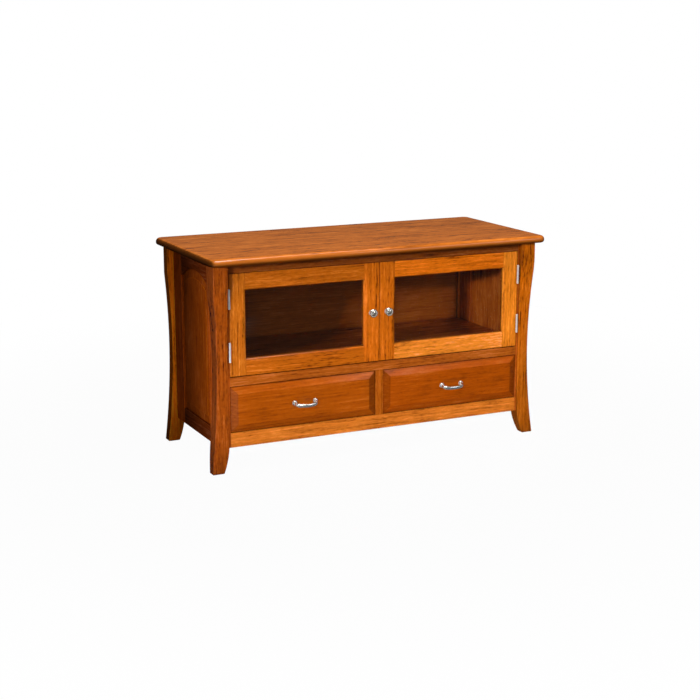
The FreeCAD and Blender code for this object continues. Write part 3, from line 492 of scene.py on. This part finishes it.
def makeFloor(look=floorLook):
    reach = look["reach"]
    corners = [(-reach, -reach, 0), (reach, -reach, 0), (reach, reach, 0), (-reach, reach, 0)]
    mesh = bpy.data.meshes.new("floor")
    mesh.from_pydata(corners, [], [(0, 1, 2, 3)])
    floor = bpy.data.objects.new("floor", mesh)
    scene.collection.objects.link(floor)
    f = newFinish("floor_paper")
    x, y, z = f.place()
    fibre = f.noise(x * look["fibre"], y * look["fibre"], z, 3)
    colour = f.ramp(fibre, [(0.3, shade(look["colour"], look["fibreDull"])), (0.7, look["colour"])])
    paper = f.node("ShaderNodeBsdfDiffuse", sockets={"Color": colour})
    glow = f.node("ShaderNodeEmission", sockets={"Color": (1, 1, 1, 1), "Strength": 1})
    card = f.node("ShaderNodeEmission", sockets={"Color": (1, 1, 1, 1), "Strength": look["cardLevel"]})
    camera, glossy, through = f.node("ShaderNodeLightPath", out=(
        "Is Camera Ray", "Is Glossy Ray", "Is Transmission Ray"))
    away = (x * x + y * y) ** 0.5
    white = f.span(away, look["near"], look["far"], look["nearWhite"], 1)
    edge, soft, fade = look["cardEdge"], look["cardSoft"], look["cardFade"]
    front, back = look["cardFront"], look["cardBack"]
    bare = f.span(x + y * look["cardSlope"], edge + soft, edge - soft)
    bare = bare * f.span(y, front, front - fade) * f.span(y, back - fade, back)
    share = (camera.orMore(through) * white).orMore(glossy * bare * look["mirror"])
    ground = f.node("ShaderNodeMixShader", sockets={0: glossy, 1: paper, 2: card})
    mesh.materials.append(f.close(f.node("ShaderNodeMixShader", sockets={0: share, 1: ground, 2: glow})))


makeFloor()

# glossy rays see a room that is darker behind the stand than in front of it
worldLook = dict(fill=0.09, mirrorBack=0.06, mirrorFront=0.12, turn=0.4)


def makeWorld(look=worldLook):
    world = bpy.data.worlds.new("studio")
    scene.world = world
    f = Finish(world)
    y = f.split(f.node("ShaderNodeTexCoord", out="Generated"))[1]
    camera, glossy, through = f.node("ShaderNodeLightPath", out=(
        "Is Camera Ray", "Is Glossy Ray", "Is Transmission Ray"))
    mirror = f.span(y, -look["turn"], look["turn"], look["mirrorFront"], look["mirrorBack"])
    level = look["fill"] + glossy * (mirror - look["fill"])
    white = camera.orMore(through)
    room = f.node("ShaderNodeBackground", sockets={
        "Color": (1, 1, 1, 1), "Strength": level + white * (1 - level)})
    f.close(room, "ShaderNodeOutputWorld")


makeWorld()

# degrees, metres and watts; spread is how far the grid on a lamp lets its light fan out,
# and hidden lamps stay out of the gloss
lampLook = dict(goal=(0, 0, 0.36), distance=4.0, spread=180, hidden=False)
lamps = dict(
    over=dict(azimuth=-15, elevation=65, distance=3.2, wide=1.9, high=1.5, watts=86),
    left=dict(azimuth=-54, elevation=11, goal=(0.04, -0.2, 0.42), wide=1.0, high=1.0, watts=3.9,
              spread=6, hidden=True),
    soft=dict(azimuth=-27, elevation=12, wide=0.9, high=0.9, watts=20, hidden=True),
    right=dict(azimuth=33, elevation=26, distance=3.0, wide=1.1, high=0.8, watts=7),
    high=dict(azimuth=24, elevation=74, distance=2.6, wide=1.6, high=0.7, watts=15),
    rear=dict(azimuth=122, elevation=0, distance=3.2, wide=1.4, high=0.7, watts=34, hidden=True),
)


# the way from the stand to a lamp or the camera
def aim(azimuth, elevation):
    azimuth, elevation = math.radians(azimuth), math.radians(elevation)
    flat = math.cos(elevation)
    return Vector((math.sin(azimuth) * flat, -math.cos(azimuth) * flat, math.sin(elevation)))


def faceAlong(way):
    return way.to_track_quat("-Z", "Y").to_euler()


def hangLamp(name, look):
    light = bpy.data.lights.new(name, "AREA")
    light.shape = "RECTANGLE"
    light.size = look["wide"]
    light.size_y = look["high"]
    light.energy = look["watts"]
    light.spread = math.radians(look["spread"])
    lamp = bpy.data.objects.new(name, light)
    back = aim(look["azimuth"], look["elevation"])
    lamp.location = Vector(look["goal"]) + back * look["distance"]
    lamp.rotation_euler = faceAlong(-back)
    lamp.visible_glossy = not look["hidden"]
    scene.collection.objects.link(lamp)
    return lamp


hung = {name: hangLamp(name, {**lampLook, **look}) for name, look in lamps.items()}

# a flag keeps the low key lamp off the top, which it would only graze
flag = bpy.data.collections.new("key_flag")
flag.objects.link(nodes["top_board"])
flag.collection_objects[0].light_linking.link_state = "EXCLUDE"
hung["left"].light_linking.receiver_collection = flag

cameraLook = dict(place=(-2.24496, -4.67863, 1.50082), azimuth=-25.5935, elevation=12.8542,
                  lens=76.72, sensor=36)
lens = bpy.data.cameras.new("camera")
lens.sensor_width = cameraLook["sensor"]
lens.lens = cameraLook["lens"]
camera = bpy.data.objects.new("camera", lens)
camera.location = cameraLook["place"]
camera.rotation_euler = faceAlong(-aim(cameraLook["azimuth"], cameraLook["elevation"]))
scene.collection.objects.link(camera)
scene.camera = camera
scene.view_settings.view_transform = "Standard"
print("floor, light and camera set")
